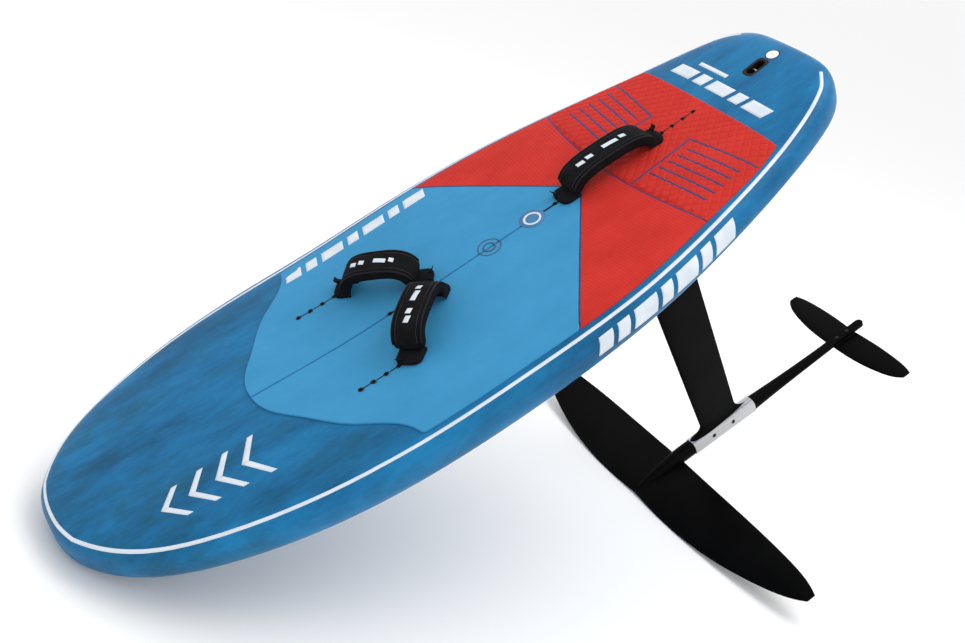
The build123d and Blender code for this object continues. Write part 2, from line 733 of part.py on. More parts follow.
# ------------------------------------------------------------------ wings
front_half = half_wing(FRONT_WING, FRONT_SPAN, WING_THICKNESS)
with BuildPart() as front_wing:
    add(front_half)
    mirror(front_half, about=Plane.XZ)
    with BuildSketch(Plane.XY.offset(WING_Z - 20)):
        with Locations(*[(x, 0) for x in WING_SCREWS_X]):
            Circle(M6 + 0.1)
    extrude(amount=40, mode=Mode.SUBTRACT)
    with BuildSketch(Plane.XY.offset(WING_Z - 24)):
        with Locations(*[(x, 0) for x in WING_SCREWS_X]):
            Circle(HEAD + HEAD_GAP)
    extrude(amount=20, mode=Mode.SUBTRACT)

with BuildPart() as front_wing_screws:
    with BuildSketch(Plane.XY.offset(WING_Z - 7.2)):
        with Locations(*[(x, 0) for x in WING_SCREWS_X]):
            Circle(HEAD)
    extrude(amount=3.2)
    with BuildSketch(Plane.XY.offset(WING_Z - 4)):
        with Locations(*[(x, 0) for x in WING_SCREWS_X]):
            Circle(M6_SHANK)
    extrude(amount=16)

tail_half = half_wing(TAIL_WING, TAIL_SPAN, TAIL_THICKNESS)
with BuildPart() as tail_wing:
    add(tail_half)
    mirror(tail_half, about=Plane.XZ)
    with BuildSketch(Plane.XY.offset(WING_Z - 2)):
        with Locations(*[(x, 0) for x in TAIL_SCREWS_X]):
            Circle(2.5)
    extrude(amount=20, mode=Mode.SUBTRACT)

with BuildPart() as tail_wing_shim:
    with BuildSketch(Plane.XY.offset(WING_Z)):
        with Locations((-10, 0)):
            SlotOverall(66, 22)
        with Locations(*[(x, 0) for x in TAIL_SCREWS_X]):
            Circle(2.6, mode=Mode.SUBTRACT)
    extrude(amount=TAB_BOTTOM - WING_Z)
    add(tail_wing.part, mode=Mode.SUBTRACT)

with BuildPart() as tail_wing_screws:
    with BuildSketch(Plane.XY.offset(WING_Z - 1.5)):
        with Locations(*[(x, 0) for x in TAIL_SCREWS_X]):
            Circle(M5_SHANK)
    extrude(amount=TAB_BOTTOM + TAB_HEIGHT - WING_Z + 1.5)
    with BuildSketch(Plane.XY.offset(TAB_BOTTOM + TAB_HEIGHT)):
        with Locations(*[(x, 0) for x in TAIL_SCREWS_X]):
            Circle(4.6)
    extrude(amount=2.6)
    with BuildSketch(Plane.XY.offset(TAB_BOTTOM + TAB_HEIGHT + 1)):
        with Locations(*[(x, 0) for x in TAIL_SCREWS_X]):
            RegularPolygon(1.8, 6)
    extrude(amount=4, mode=Mode.SUBTRACT)

# ------------------------------------------------------------------ fuselage
with BuildPart() as fuselage_centre:
    with BuildSketch(Plane.YZ.offset(CENTRE_REAR)):
        with Locations((0, AXIS_Z)):
            RectangleRounded(FUSELAGE_WIDTH, FUSELAGE_HEIGHT, 13)
    extrude(amount=CENTRE_FRONT - CENTRE_REAR)
    with BuildSketch(Plane.XY.offset(FUSELAGE_TOP - TENON_DEPTH)):
        with Locations((TENON_X, 0)):
            RectangleRounded(TENON_LENGTH, TENON_WIDTH, 5)
    extrude(amount=TENON_DEPTH + 5, mode=Mode.SUBTRACT)
    for x in (CENTRE_REAR, CENTRE_FRONT - SPIGOT_LENGTH):
        with BuildSketch(Plane.YZ.offset(x)):
            with Locations((0, AXIS_Z)):
                Circle(SPIGOT)
        extrude(amount=SPIGOT_LENGTH, mode=Mode.SUBTRACT)
    with BuildSketch(Plane.XZ.offset(-30)):
        with Locations(*[(x, AXIS_Z + 6) for x in FOOT_BOLTS_X]):
            Circle(M6)
    extrude(amount=44, mode=Mode.SUBTRACT)
    with BuildSketch(Plane.XZ.offset(-30)):
        with Locations(*[(x, AXIS_Z + 6) for x in FOOT_BOLTS_X]):
            Circle(HEAD + HEAD_GAP)
    extrude(amount=30 - FUSELAGE_WIDTH / 2 + 4, mode=Mode.SUBTRACT)
    with BuildSketch(Plane.XY.offset(AXIS_Z - 30)):
        with Locations(*[(x, 0) for x in JOINT_SCREWS_X]):
            Circle(M6 + 0.05)
    extrude(amount=30, mode=Mode.SUBTRACT)

with BuildPart() as mast_foot_bolts:
    with BuildSketch(Plane.XZ.offset(-FUSELAGE_WIDTH / 2)):
        with Locations(*[(x, AXIS_Z + 6) for x in FOOT_BOLTS_X]):
            Circle(HEAD)
    extrude(amount=4)
    with BuildSketch(Plane.XZ.offset(-FUSELAGE_WIDTH / 2 + 4)):
        with Locations(*[(x, AXIS_Z + 6) for x in FOOT_BOLTS_X]):
            Circle(M6_SHANK)
    extrude(amount=27)
    with BuildSketch(Plane.XZ.offset(-FUSELAGE_WIDTH / 2 - 1)):
        with Locations(*[(x, AXIS_Z + 6) for x in FOOT_BOLTS_X]):
            RegularPolygon(2.4, 6)
    extrude(amount=3.2, mode=Mode.SUBTRACT)

with BuildPart() as fuselage_joint_screws:
    with BuildSketch(Plane.XY.offset(AXIS_Z - FUSELAGE_HEIGHT / 2 + 0.5)):
        with Locations(*[(x, 0) for x in JOINT_SCREWS_X]):
            Circle(M6_SHANK)
    extrude(amount=FUSELAGE_HEIGHT / 2 - 2)
    with BuildSketch(Plane.XY.offset(AXIS_Z - FUSELAGE_HEIGHT / 2)):
        with Locations(*[(x, 0) for x in JOINT_SCREWS_X]):
            RegularPolygon(1.6, 6)
    extrude(amount=3, mode=Mode.SUBTRACT)

with BuildPart() as fuselage_front:
    for x, z, half_width, half_height in NOSE_CONE:
        with BuildSketch(Plane.YZ.offset(x)):
            with Locations((0, z)):
                Ellipse(half_width, half_height)
    loft()
    with BuildSketch(Plane.YZ.offset(CENTRE_FRONT - SPIGOT_LENGTH + 0.5)):
        with Locations((0, AXIS_Z)):
            Circle(SPIGOT - 0.05)
    extrude(amount=SPIGOT_LENGTH)
    with BuildSketch(Plane.XZ.offset(-60)):
        with BuildLine():
            Polyline((519.5, WING_Z), (519.5, WING_Z - 40), (700, WING_Z - 40), (700, WING_Z), close=True)
        make_face()
    extrude(amount=120, mode=Mode.SUBTRACT)
    add(front_half, mode=Mode.SUBTRACT)
    add(mirror(front_half, about=Plane.XZ, mode=Mode.PRIVATE), mode=Mode.SUBTRACT)
    with BuildSketch(Plane.XY.offset(WING_Z - 10)):
        with Locations(*[(x, 0) for x in WING_SCREWS_X]):
            Circle(M6)
    extrude(amount=22.5, mode=Mode.SUBTRACT)
    with BuildSketch(Plane.XY.offset(AXIS_Z - 30)):
        with Locations((JOINT_SCREWS_X[1], 0)):
            Circle(M6)
    extrude(amount=30, mode=Mode.SUBTRACT)

with BuildPart() as fuselage_rear:
    for x, z, half_width, half_height in TAIL_CONE:
        with BuildSketch(Plane.YZ.offset(x)):
            with Locations((0, z)):
                Ellipse(half_width, half_height)
    loft()
    with BuildSketch(Plane.YZ.offset(CENTRE_REAR - 0.5)):
        with Locations((0, AXIS_Z)):
            Circle(SPIGOT - 0.05)
    extrude(amount=SPIGOT_LENGTH)
    with BuildSketch(Plane.XY.offset(TAB_BOTTOM)):
        with Locations(((FUSELAGE_END + 60) / 2, 0)):
            SlotOverall(60 - FUSELAGE_END, 21)
    extrude(amount=TAB_HEIGHT)
    with BuildSketch(Plane.XY.offset(TAB_BOTTOM - 5)):
        with Locations(*[(x, 0) for x in TAIL_SCREWS_X]):
            Circle(M5_HOLE)
    extrude(amount=30, mode=Mode.SUBTRACT)
    with BuildSketch(Plane.XY.offset(AXIS_Z - 30)):
        with Locations((JOINT_SCREWS_X[0], 0)):
            Circle(M6)
    extrude(amount=30, mode=Mode.SUBTRACT)

# ------------------------------------------------------------------ write every piece
pieces = {
    "foam_core": foam_core,
    "deck_skin": deck_skin,
    "bottom_skin": bottom_skin,
    "front_pad": front_pad,
    "mid_pad": mid_pad,
    "rear_pad": rear_pad,
    **inserts,
    "leash_cup": leash_cup,
    "leash_bar": leash_bar,
    "vent_insert": vent_insert,
    "vent_o_ring": vent_o_ring,
    "vent_screw": vent_screw,
    **track_boxes,
    "handle_cup": handle_cup,
    "handle_grip": handle_grip,
    "base_plate": base_plate,
    "base_bolts": base_bolts,
    "base_washers": base_washers,
    "track_nuts": track_nuts,
    "mast": mast,
    "mast_head_screws": mast_head_screws,
    "fuselage_centre": fuselage_centre,
    "mast_foot_bolts": mast_foot_bolts,
    "fuselage_joint_screws": fuselage_joint_screws,
    "fuselage_front": fuselage_front,
    "fuselage_rear": fuselage_rear,
    "front_wing": front_wing,
    "front_wing_screws": front_wing_screws,
    "tail_wing": tail_wing,
    "tail_wing_shim": tail_wing_shim,
    "tail_wing_screws": tail_wing_screws,
}
for strap, parts in strap_pieces.items():
    for part_name, piece in parts.items():
        pieces[f"{strap}_strap_{part_name}"] = piece

for piece_name, piece in pieces.items():
    save(piece, piece_name)
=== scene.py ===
import bmesh
import bpy
import math
from mathutils import Matrix, Vector
from mathutils.bvhtree import BVHTree


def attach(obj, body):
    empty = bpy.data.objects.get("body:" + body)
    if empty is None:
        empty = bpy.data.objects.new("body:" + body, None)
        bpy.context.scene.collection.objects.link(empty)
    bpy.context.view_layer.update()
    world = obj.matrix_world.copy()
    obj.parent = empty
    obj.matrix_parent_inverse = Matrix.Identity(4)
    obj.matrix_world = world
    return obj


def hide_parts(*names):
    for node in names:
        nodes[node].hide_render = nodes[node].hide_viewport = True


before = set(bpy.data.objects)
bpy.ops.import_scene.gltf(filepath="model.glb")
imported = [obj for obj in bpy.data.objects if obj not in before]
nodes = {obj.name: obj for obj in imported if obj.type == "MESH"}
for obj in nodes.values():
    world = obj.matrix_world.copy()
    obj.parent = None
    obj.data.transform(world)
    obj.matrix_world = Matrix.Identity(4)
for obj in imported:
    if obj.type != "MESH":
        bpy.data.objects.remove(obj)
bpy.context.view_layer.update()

# The board frame: X forward from the tail, Y to port, Z up, in millimetres, before the resting pitch.
PITCH = math.radians(39.4796)
SHIFT = Vector((-0.369909, 0, 1.109485))
MM = 0.001
UP = Vector((0, 0, 1))
PORT = Vector((0, 1, 0))
ABOVE = 400.0
TO_ROW = Matrix.Translation(SHIFT) @ Matrix.Rotation(PITCH, 4, "Y") @ Matrix.Scale(MM, 4)
TO_BOARD = TO_ROW.inverted()
PAD = 4.0


def row(x, y, z):
    """A board-frame point in millimetres as a row-frame point in metres."""
    return TO_ROW @ Vector((x, y, z))


def board_tree(*names):
    """A search tree of these CAD nodes, in the board frame."""
    points, faces = [], []
    for name in names:
        mesh = nodes[name].data
        start = len(points)
        points += [TO_BOARD @ v.co for v in mesh.vertices]
        faces += [[start + i for i in p.vertices] for p in mesh.polygons]
    return BVHTree.FromPolygons(points, faces)


INSERTS = [n for n in nodes if n.startswith("insert_")]
deck_tree = board_tree("deck_skin", *INSERTS)
pad_tree = board_tree("front_pad", "mid_pad", "rear_pad", "deck_skin")
hull_tree = board_tree("deck_skin", "bottom_skin")


def from_above(tree, x, y):
    """Where a ray straight down at this place first meets the tree, or None."""
    return tree.ray_cast(Vector((x, y, ABOVE)), -UP)[0]


def on_deck(x, y):
    """On the deck skin. A place just outside the outline takes the height of the nearest edge."""
    spot = from_above(deck_tree, x, y)
    return spot or Vector((x, y, deck_tree.find_nearest(Vector((x, y, 0)))[0].z))


def half_width(x):
    """The hull's half width at this x, seen from above."""
    inside, outside = 0.0, 600.0
    for _ in range(18):
        middle = (inside + outside) / 2
        if from_above(hull_tree, x, middle):
            inside = middle
        else:
            outside = middle
    return inside


def on_pad(x, y):
    """On the pads, or on the deck where there is none. The narrow gaps between pads are bridged."""
    best = None
    for dx, dy in ((0, 0), (2.6, 0), (-2.6, 0), (0, 2.6), (0, -2.6)):
        hit = from_above(pad_tree, x + dx, y + dy)
        if hit and (best is None or hit.z > best):
            best = hit.z
    return Vector((x, y, best or 0))


def on_rail(x, z):
    """On the port rail, seen from the port side."""
    for nudge in (0, 0.4, -0.4):
        hit = hull_tree.ray_cast(Vector((x, 600, z + nudge)), -PORT)[0]
        if hit and hit.y > 60:
            return Vector((x, hit.y, z))
    return Vector((x, 300, z))


# ------------------------------------------------------------------ pieces
def shown(name, mesh, mat):
    """Show a mesh as a smooth piece that rides on the board."""
    mesh.polygons.foreach_set("use_smooth", [True] * len(mesh.polygons))
    mesh.materials.append(mat)
    obj = bpy.data.objects.new(name, mesh)
    bpy.context.scene.collection.objects.link(obj)
    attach(obj, "board")
    return obj


def piece(name, points, faces, mat):
    """Make a piece from row-frame points."""
    mesh = bpy.data.meshes.new(name)
    mesh.from_pydata([tuple(p) for p in points], [], faces)
    mesh.validate()
    bm = bmesh.new()
    bm.from_mesh(mesh)
    bmesh.ops.recalc_face_normals(bm, faces=bm.faces)
    bm.to_mesh(mesh)
    bm.free()
    return shown(name, mesh, mat)


def draped(name, quads, surface, mat, lift=0.35, cell=7.0):
    """Thin painted or printed patches: each four-cornered shape is laid on the surface, with a low rim."""
    points, faces = [], []
    for corners in quads:
        a, b, c, d = [Vector(p) for p in corners]
        across = max(1, math.ceil(max((b - a).length, (c - d).length) / cell))
        along = max(1, math.ceil(max((d - a).length, (c - b).length) / cell))
        start = len(points)
        for i in range(-1, along + 2):
            for j in range(-1, across + 2):
                u = min(max(j / across, 0), 1)
                v = min(max(i / along, 0), 1)
                flat = a.lerp(b, u).lerp(d.lerp(c, u), v)
                rim = i in (-1, along + 1) or j in (-1, across + 1)
                spot = surface(flat.x, flat.y)
                out = PORT if surface is on_rail else UP
                points.append(TO_ROW @ (spot + out * (-0.25 if rim else lift)))
        wide = across + 3
        for i in range(along + 2):
            for j in range(across + 2):
                corner = start + i * wide + j
                faces.append((corner, corner + 1, corner + 1 + wide, corner + wide))
    return piece(name, points, faces, mat)


def smooth_line(points, steps):
    """A Catmull-Rom line through the points."""
    count = len(points)
    line = []
    for k in range(count - 1):
        p0, p1, p2, p3 = [Vector(points[min(max(k + offset, 0), count - 1)]) for offset in (-1, 0, 1, 2)]
        for step in range(steps):
            t = step / steps
            line.append(0.5 * (2 * p1 + (p2 - p0) * t + (2 * p0 - 5 * p1 + 4 * p2 - p3) * t * t
                               + (3 * p1 - p0 - 3 * p2 + p3) * t ** 3))
    line.append(Vector(points[-1]))
    return line


def ribbon(name, lines, width, surface, mat, lift):
    """Thin lines of this width laid on a surface, a little higher in the middle than at the edges."""
    section = [(-0.5, -0.3), (-0.47, lift * 0.8), (0, lift), (0.47, lift * 0.8), (0.5, -0.3)]
    points, faces = [], []
    for line in lines:
        start = len(points)
        count = len(line)
        for k, spot in enumerate(line):
            way = (line[min(k + 1, count - 1)] - line[max(k - 1, 0)]).normalized()
            side = Vector((-way.y, way.x))
            for share, rise in section:
                flat = spot + side * width * share
                points.append(TO_ROW @ (surface(flat.x, flat.y) + Vector((0, 0, rise))))
        for k in range(count - 1):
            for j in range(4):
                a = start + k * 5 + j
                b = a + 5
                faces.append((a, a + 1, b + 1, b))
    return piece(name, points, faces, mat)


def swept(name, path, profile, mat):
    """Sweep a closed profile of (across, outward) points along frames of (place, across, outward)."""
    points, faces = [], []
    count = len(profile(0)) if callable(profile) else len(profile)
    for k, (place, across, outward) in enumerate(path):
        ring = profile(k / (len(path) - 1)) if callable(profile) else profile
        for u, h in ring:
            points.append(TO_ROW @ (place + across * u + outward * h))
    for k in range(len(path) - 1):
        for j in range(count):
            a, b = k * count + j, k * count + (j + 1) % count
            faces.append((a, b, b + count, a + count))
    faces.append(tuple(range(count)))
    faces.append(tuple(range((len(path) - 1) * count, len(path) * count)))
    return piece(name, points, faces, mat)


# ------------------------------------------------------------------ materials
def nodes_of(mat):
    """The node list and the link list of a material."""
    return mat.node_tree.nodes, mat.node_tree.links


def finish_of(name, rough, metallic=0.0, coat=0.0, specular=0.5):
    """A new material and its shader, with its constant values set."""
    mat = bpy.data.materials.new(name)
    mat.use_nodes = True
    shader = mat.node_tree.nodes["Principled BSDF"]
    shader.inputs["Roughness"].default_value = rough
    shader.inputs["Metallic"].default_value = metallic
    shader.inputs["Coat Weight"].default_value = coat
    shader.inputs["Coat Roughness"].default_value = 0.12
    shader.inputs["Specular IOR Level"].default_value = specular
    return mat, shader


def board_coords(mat, scale=(1, 1, 1)):
    """Board-frame coordinates in metres, scaled on each axis."""
    tree, links = nodes_of(mat)
    where = tree.new("ShaderNodeTexCoord")
    turn = tree.new("ShaderNodeMapping")
    turn.vector_type = "TEXTURE"
    turn.inputs["Location"].default_value = SHIFT
    turn.inputs["Rotation"].default_value = (0, PITCH, 0)
    links.new(where.outputs["Object"], turn.inputs["Vector"])
    stretch = tree.new("ShaderNodeMapping")
    stretch.inputs["Scale"].default_value = scale
    links.new(turn.outputs["Vector"], stretch.inputs["Vector"])
    return stretch.outputs["Vector"]


def noise(mat, scale, detail=4.0, stretch=(1, 1, 1), roughness=0.55):
    """A noise value in the board frame."""
    tree, links = nodes_of(mat)
    made = tree.new("ShaderNodeTexNoise")
    made.inputs["Scale"].default_value = scale
    made.inputs["Detail"].default_value = detail
    made.inputs["Roughness"].default_value = roughness
    links.new(board_coords(mat, stretch), made.inputs["Vector"])
    return made.outputs["Fac"]


def ramp(mat, value, stops):
    """A colour ramp of (place, colour) stops. The first two fill the ends that a new ramp has."""
    tree, links = nodes_of(mat)
    made = tree.new("ShaderNodeValToRGB")
    for index, (place, colour) in enumerate(stops):
        stop = made.color_ramp.elements[index] if index < 2 else made.color_ramp.elements.new(place)
        stop.position = place
        stop.color = (*colour, 1)
    links.new(value, made.inputs["Fac"])
    return made.outputs["Color"]


def spread(mat, value, low, high):
    """Stretch the middle of a noise value over this range."""
    tree, links = nodes_of(mat)
    made = tree.new("ShaderNodeMapRange")
    made.inputs["From Min"].default_value = 0.3
    made.inputs["From Max"].default_value = 0.7
    made.inputs["To Min"].default_value = low
    made.inputs["To Max"].default_value = high
    links.new(value, made.inputs["Value"])
    return made.outputs["Result"]


def bumped(mat, shader, heights):
    """Chain bumps of (height value, strength, distance in metres) into the shader's normal."""
    tree, links = nodes_of(mat)
    last = None
    for value, strength, distance in heights:
        made = tree.new("ShaderNodeBump")
        made.inputs["Strength"].default_value = strength
        made.inputs["Distance"].default_value = distance
        links.new(value, made.inputs["Height"])
        if last:
            links.new(last, made.inputs["Normal"])
        last = made.outputs["Normal"]
    links.new(last, shader.inputs["Normal"])


def wave(mat, scale, direction):
    """Slightly wavering bands across one axis of the board."""
    tree, links = nodes_of(mat)
    made = tree.new("ShaderNodeTexWave")
    made.bands_direction = direction
    made.inputs["Scale"].default_value = scale
    made.inputs["Distortion"].default_value = 0.4
    links.new(board_coords(mat), made.inputs["Vector"])
    return made.outputs["Fac"]


def surface_finish(name, low, high, rough, scale, grain=900.0, grain_depth=0.00012, metallic=0.0,
                   specular=0.5, stretch=(1, 1, 1), rough_swing=0.08):
    """A finish whose colour, roughness and fine grain all vary over the surface."""
    mat, shader = finish_of(name, rough, metallic=metallic, specular=specular)
    links = mat.node_tree.links
    broad = noise(mat, scale, 6.0, stretch)
    links.new(ramp(mat, broad, [(0.32, low), (0.68, high)]), shader.inputs["Base Color"])
    links.new(spread(mat, noise(mat, scale * 6, 5.0, stretch), rough - rough_swing, rough + rough_swing),
              shader.inputs["Roughness"])
    bumped(mat, shader, [(noise(mat, grain, 3.0), 0.35, grain_depth)])
    return mat


def fabric_finish(name, low, high, threads, rough=0.85):
    """A woven cloth: crossed threads, with a little shade variation."""
    mat, shader = finish_of(name, rough, specular=0.08)
    links = mat.node_tree.links
    links.new(ramp(mat, noise(mat, 30.0, 6.0), [(0.3, low), (0.7, high)]), shader.inputs["Base Color"])
    links.new(spread(mat, noise(mat, 160.0), rough - 0.08, rough + 0.06), shader.inputs["Roughness"])
    warp = wave(mat, threads, "X")
    weft = wave(mat, threads, "Y")
    bumped(mat, shader, [(warp, 0.3, 0.0003), (weft, 0.3, 0.0003), (noise(mat, 60.0), 0.25, 0.001)])
    return mat


def hull_finish():
    """Blue lacquer with soft brushed patches, darker greenish patches that grow stronger towards the nose,
    and a satin surface.
    """
    mat, shader = finish_of("hull_blue", 0.36, coat=0.02, specular=0.12)
    tree, links = nodes_of(mat)
    patches = noise(mat, 4.0, 12.0, (0.8, 2.4, 1.6), 0.74)
    blue = ramp(mat, patches, [
        (0.34, (0.004, 0.078, 0.180)),
        (0.62, (0.009, 0.172, 0.380)),
        (0.47, (0.006, 0.124, 0.290)),
    ])
    # Darker greenish patches, mixed in more strongly towards the nose.
    dark_patch_mask = ramp(mat, noise(mat, 3.4, 11.0, (1.0, 2.0, 1.5), 0.74), [(0.47, (0, 0, 0)), (0.60, (1, 1, 1))])
    place = tree.new("ShaderNodeSeparateXYZ")
    links.new(board_coords(mat), place.inputs["Vector"])
    toward_nose = tree.new("ShaderNodeMapRange")
    toward_nose.inputs["From Min"].default_value = 0.9
    toward_nose.inputs["From Max"].default_value = 1.7
    toward_nose.inputs["To Min"].default_value = 0.10
    toward_nose.inputs["To Max"].default_value = 0.75
    links.new(place.outputs["X"], toward_nose.inputs["Value"])
    share = tree.new("ShaderNodeMath")
    share.operation = "MULTIPLY"
    links.new(dark_patch_mask, share.inputs[0])
    links.new(toward_nose.outputs["Result"], share.inputs[1])
    mix = tree.new("ShaderNodeMix")
    mix.data_type = "RGBA"
    links.new(share.outputs["Value"], mix.inputs["Factor"])
    links.new(blue, mix.inputs["A"])
    mix.inputs["B"].default_value = (0.010, 0.076, 0.115, 1)
    links.new(mix.outputs["Result"], shader.inputs["Base Color"])
    links.new(spread(mat, noise(mat, 14.0, 8.0, (0.5, 3, 2)), 0.30, 0.44), shader.inputs["Roughness"])
    bumped(mat, shader, [(noise(mat, 420.0, 4.0, (0.2, 1, 1)), 0.12, 0.0002)])
    return mat


def pad_finish(name, low, high, tick):
    """Soft deck foam: a fine pebble grain and faint scuffs."""
    mat, shader = finish_of(name, 0.66, specular=0.12)
    links = mat.node_tree.links
    links.new(ramp(mat, noise(mat, 7.0, 8.0, (1, 1.6, 1), 0.62), [(0.30, low), (0.70, high)]),
              shader.inputs["Base Color"])
    links.new(spread(mat, noise(mat, 50.0, 6.0), 0.55, 0.70), shader.inputs["Roughness"])
    bumped(mat, shader, [(noise(mat, tick, 2.0), 0.4, 0.0004), (noise(mat, 5.0, 3.0), 0.08, 0.004)])
    return mat


HULL = hull_finish()
PAD_BLUE = pad_finish("pad_blue_foam", (0.036, 0.240, 0.455), (0.046, 0.275, 0.515), 800.0)
PAD_RED = pad_finish("pad_red_foam", (0.470, 0.020, 0.014), (0.560, 0.030, 0.022), 700.0)
# Painted shade: a dark blue, far darker than the hull, laid in the pad grooves and in the seams between pads.
GROOVE_SHADE = surface_finish("groove_shade", (0.006, 0.022, 0.110), (0.010, 0.035, 0.150), 0.6, 40.0)
WHITE = surface_finish("white_print", (0.58, 0.64, 0.71), (0.68, 0.73, 0.79), 0.45, 22.0, 500.0, 0.00008,
                       specular=0.2)
BLACK_PLASTIC = surface_finish("black_moulding", (0.006, 0.006, 0.0065), (0.012, 0.012, 0.013), 0.48, 30.0,
                               1200.0, specular=0.15)
WHITE_PLASTIC = surface_finish("white_moulding", (0.74, 0.75, 0.75), (0.84, 0.85, 0.85), 0.42, 60.0, 1200.0)
STEEL = surface_finish("stainless", (0.42, 0.42, 0.43), (0.58, 0.58, 0.60), 0.28, 60.0, 1500.0, 0.00005, 1.0)
SILVER = surface_finish("satin_aluminium", (0.40, 0.41, 0.42), (0.56, 0.57, 0.58), 0.32, 26.0, 1400.0,
                        0.00005, 1.0, stretch=(0.2, 2, 2))
FOIL = surface_finish("foil_satin", (0.0012, 0.0012, 0.0013), (0.0028, 0.0028, 0.0030), 0.40, 8.0, 900.0,
                      0.00008, specular=0.03, stretch=(1, 0.5, 1), rough_swing=0.06)
BLACK_METAL = surface_finish("anodised_black", (0.012, 0.012, 0.013), (0.024, 0.024, 0.026), 0.34, 30.0,
                             1500.0, 0.00005, 0.7)
SEAL = surface_finish("seal_rubber", (0.012, 0.012, 0.012), (0.026, 0.026, 0.026), 0.55, 80.0, 1500.0)
FOAM = surface_finish("core_foam", (0.80, 0.80, 0.76), (0.90, 0.90, 0.87), 0.9, 60.0, 500.0, 0.0006)
CLOTH = fabric_finish("strap_cloth", (0.0035, 0.0035, 0.0042), (0.008, 0.008, 0.0095), 260.0)
TAPE = fabric_finish("strap_tape", (0.006, 0.006, 0.006), (0.015, 0.015, 0.016), 180.0, 0.72)
PIPING = surface_finish("strap_piping", (0.005, 0.005, 0.006), (0.011, 0.011, 0.013), 0.46, 90.0, 700.0,
                        specular=0.15)
THREAD = surface_finish("thread", (0.015, 0.015, 0.017), (0.035, 0.035, 0.038), 0.6, 200.0, 1500.0)
BADGE = surface_finish("badge_blue", (0.020, 0.130, 0.300), (0.030, 0.180, 0.380), 0.5, 40.0)
BADGE_RIM = surface_finish("badge_rim", (0.010, 0.050, 0.130), (0.018, 0.080, 0.190), 0.5, 40.0)

FINISHES = [
    (HULL, ["deck_skin", "bottom_skin"]),
    (FOAM, ["foam_core"]),
    (BLACK_PLASTIC, ["leash_cup", "vent_insert", "track_box_port", "track_box_starboard", "handle_cup"]),
    (BLACK_PLASTIC, [*INSERTS, *[n for n in nodes if n.endswith("_strap_plates")], "tail_wing_shim"]),
    (WHITE_PLASTIC, ["vent_screw"]),
    (SEAL, ["vent_o_ring"]),
    (STEEL, ["leash_bar", "base_bolts", "base_washers", "track_nuts", "mast_head_screws"]),
    (STEEL, ["fuselage_joint_screws", *[n for n in nodes if n.endswith("_strap_screws")]]),
    (BLACK_METAL, ["base_plate", "mast_foot_bolts", "front_wing_screws", "tail_wing_screws"]),
    (SILVER, ["fuselage_centre"]),
    (FOIL, ["mast", "fuselage_front", "fuselage_rear", "front_wing", "tail_wing"]),
]
for mat, names in FINISHES:
    for node_name in names:
        for slot in nodes[node_name].material_slots:
            slot.material = mat

# ------------------------------------------------------------------ deck pads
HOLE_PITCH = 27.3
FRONT_ROW = [1144.3 - HOLE_PITCH * k for k in range(6)]
REAR_ROW = [260.0 + HOLE_PITCH * k for k in range(5)]
ROW_Y = 138.0
CENTRE_STRAP = (911, 26)
REAR_STRAP_FRONT = (583.7, 0)
CENTRE_HOLES = [REAR_STRAP_FRONT, (611.0, 0), (978.0, 0), (1005.3, 0)]
HOLES = [(x, side * ROW_Y) for x in FRONT_ROW for side in (1, -1)]
HOLES += [(x, 0) for x in REAR_ROW] + CENTRE_HOLES + [CENTRE_STRAP, (CENTRE_STRAP[0], -CENTRE_STRAP[1])]
HOLE_RADIUS = 4.3
ROUND = 3.0
EDGE_DROP = 1.6


def pad_span(tree, x, base, widest):
    """The lowest and highest port-side y where a pad has material at this x."""
    def there(y):
        return from_above(tree, x, y) is not None

    found = [y for y in (base + 0.05 + k for k in range(int(widest) + 2)) if there(y)]
    if not found:
        return None
    ends = []
    for inside, step in ((found[0], -1), (found[-1], 1)):
        outside = inside + step
        for _ in range(6):
            middle = (inside + outside) / 2
            inside, outside = (middle, outside) if there(middle) else (inside, middle)
        ends.append(inside)
    low, high = ends
    return (base if low < base + 6.5 else low), high


def pad_grid(node, base, cell, relief):
    """Both halves of a pad's top as points and faces in the board frame, and the pad's two ends."""
    tree = board_tree(node)
    corners = [TO_BOARD @ v.co for v in nodes[node].data.vertices]
    first, last = min(p.x for p in corners), max(p.x for p in corners)
    widest = max(p.y for p in corners)
    edges = [0.15, 1.0, 2.0, ROUND]
    inner = last - first - 2 * ROUND
    count = math.ceil(inner / cell)
    xs = [first + e for e in edges]
    xs += [first + ROUND + inner * k / count for k in range(1, count)]
    xs += [last - e for e in reversed(edges)]
    spans = [(x, pad_span(tree, x, base, widest)) for x in xs]
    spans = [(x, s) for x, s in spans if s and s[1] - s[0] > 0.4]
    lanes = math.ceil(max(s[1] - s[0] for _, s in spans) / cell)
    points, faces = [], []
    for side in (1, -1):
        start = len(points)
        for x, (low, high) in spans:
            rim = min(ROUND, (high - low) * 0.3)
            # The inner side is an edge only where it doesn't meet the other half on the centre line.
            open_low = low > base + 0.01 or base > 0
            ys = [low, low + rim * 0.35, low + rim] if open_low else [low]
            ys += [ys[-1] + (high - rim - ys[-1]) * k / lanes for k in range(1, lanes + 1)]
            ys += [high - rim * 0.35, high]
            if not open_low:
                ys = [low, low, low] + ys[1:]
            for y in ys:
                gap = min(high - y, x - first, last - x)
                if open_low:
                    gap = min(gap, y - low)
                drop = EDGE_DROP * (1 - min(max(gap, 0) / ROUND, 1)) ** 2
                points.append(Vector((x, side * y, on_deck(x, y).z + PAD - drop + relief(x, y))))
        wide = lanes + 5
        for i in range(len(spans) - 1):
            for j in range(wide - 1):
                a = start + i * wide + j
                faces.append((a, a + 1, a + 1 + wide, a + wide))
    return points, faces, first, last


